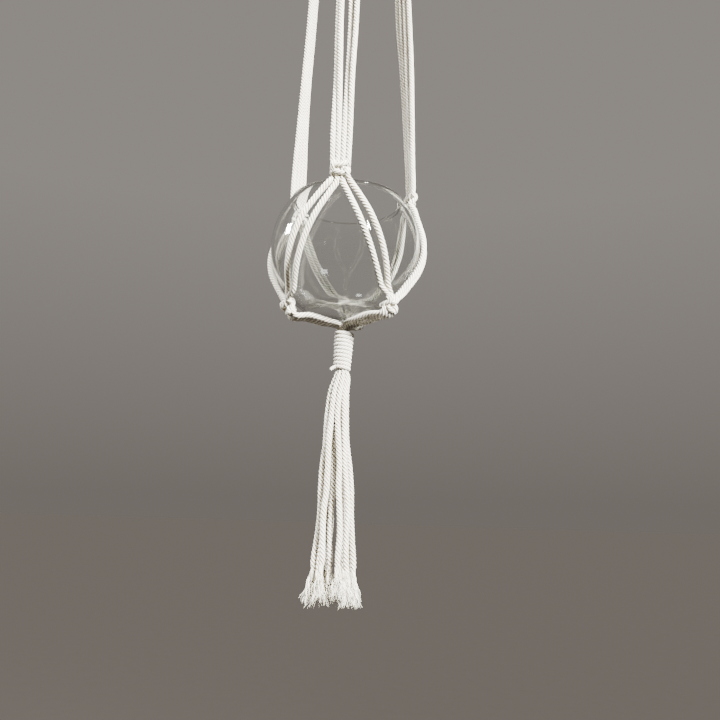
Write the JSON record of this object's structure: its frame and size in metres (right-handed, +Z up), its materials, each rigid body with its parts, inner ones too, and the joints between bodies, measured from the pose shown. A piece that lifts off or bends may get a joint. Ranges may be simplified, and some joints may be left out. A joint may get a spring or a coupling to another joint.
{
  "type": "hanging macrame planter",
  "caption": "Knotted cotton cord hanger with long arms, a net holding a round glass bowl, a wrapped gather and a frayed tassel, hung from a ring.",
  "frame": {"origin": "top of the ring's hole, where a hook bears", "axes": "+Z up along the hanging line, -Y towards the front arm, +X to the right"},
  "size_m": [0.1088, 0.1024, 1.1811],
  "materials": {
    "ring_wood": "smooth turned pale wood",
    "cord": "twisted natural cotton cord",
    "wrap_cord": "thinner twisted cotton cord, wound tight",
    "bowl_glass": "clear glass, faintly green at the edges"
  },
  "bodies": {
    "ring": {"hanging_ring": "ring_wood"},
    "head": {"cord_fold_1": "cord", "cord_fold_2": "cord", "cord_fold_3": "cord", "cord_fold_4": "cord", "cord_fold_5": "cord", "cord_fold_6": "cord", "top_bundle": "cord", "top_wrap": "wrap_cord"},
    "net": {"arm_front_1": "cord", "arm_front_2": "cord", "arm_front_3": "cord", "arm_front_4": "cord", "arm_right_1": "cord", "arm_right_2": "cord", "arm_right_3": "cord", "arm_right_4": "cord", "arm_left_1": "cord", "arm_left_2": "cord", "arm_left_3": "cord", "arm_left_4": "cord", "upper_knot_front": "cord", "upper_knot_right": "cord", "upper_knot_left": "cord", "net_front_l1": "cord", "net_front_l2": "cord", "net_front_r1": "cord", "net_front_r2": "cord", "net_right_l1": "cord", "net_right_l2": "cord", "net_right_r1": "cord", "net_right_r2": "cord", "net_left_l1": "cord", "net_left_l2": "cord", "net_left_r1": "cord", "net_left_r2": "cord", "lower_knot_right": "cord", "lower_knot_rear": "cord", "lower_knot_left": "cord", "base_cords_right": "cord", "base_cords_rear": "cord", "base_cords_left": "cord"},
    "bowl": {"glass_bowl": "bowl_glass"},
    "gather": {"gather_bundle": "cord", "bottom_wrap": "wrap_cord", "wrap_end": "wrap_cord"},
    "tassel": {"tassel_cord_1": "cord", "tassel_cord_2": "cord", "tassel_cord_3": "cord", "tassel_cord_4": "cord", "tassel_cord_5": "cord", "tassel_cord_6": "cord", "tassel_cord_7": "cord", "tassel_cord_8": "cord", "tassel_cord_9": "cord", "tassel_cord_10": "cord", "tassel_cord_11": "cord", "tassel_cord_12": "cord"}
  },
  "joints": [
    {"name": "slide_round_ring", "type": "hinge", "parent": "ring", "child": "head", "pos_m": [0, 0, -0.02], "axis": [0, 1, 0], "range_deg": [-25, 25]},
    {"name": "hanger_swing", "type": "hinge", "parent": "head", "child": "net", "pos_m": [0, 0, -0.114], "axis": [1, 0, 0], "range_deg": [-15, 15]},
    {"name": "bowl_turn", "type": "hinge", "parent": "net", "child": "bowl", "pos_m": [0, 0, -0.94247], "axis": [0, 0, 1], "continuous": true},
    {"name": "gather_rock", "type": "hinge", "parent": "net", "child": "gather", "pos_m": [0, 0, -0.99753], "axis": [1, 0, 0], "range_deg": [-10, 10]},
    {"name": "tassel_swing", "type": "hinge", "parent": "gather", "child": "tassel", "pos_m": [0, 0, -1.02503], "axis": [0, 1, 0], "range_deg": [-20, 20]}
  ]
}
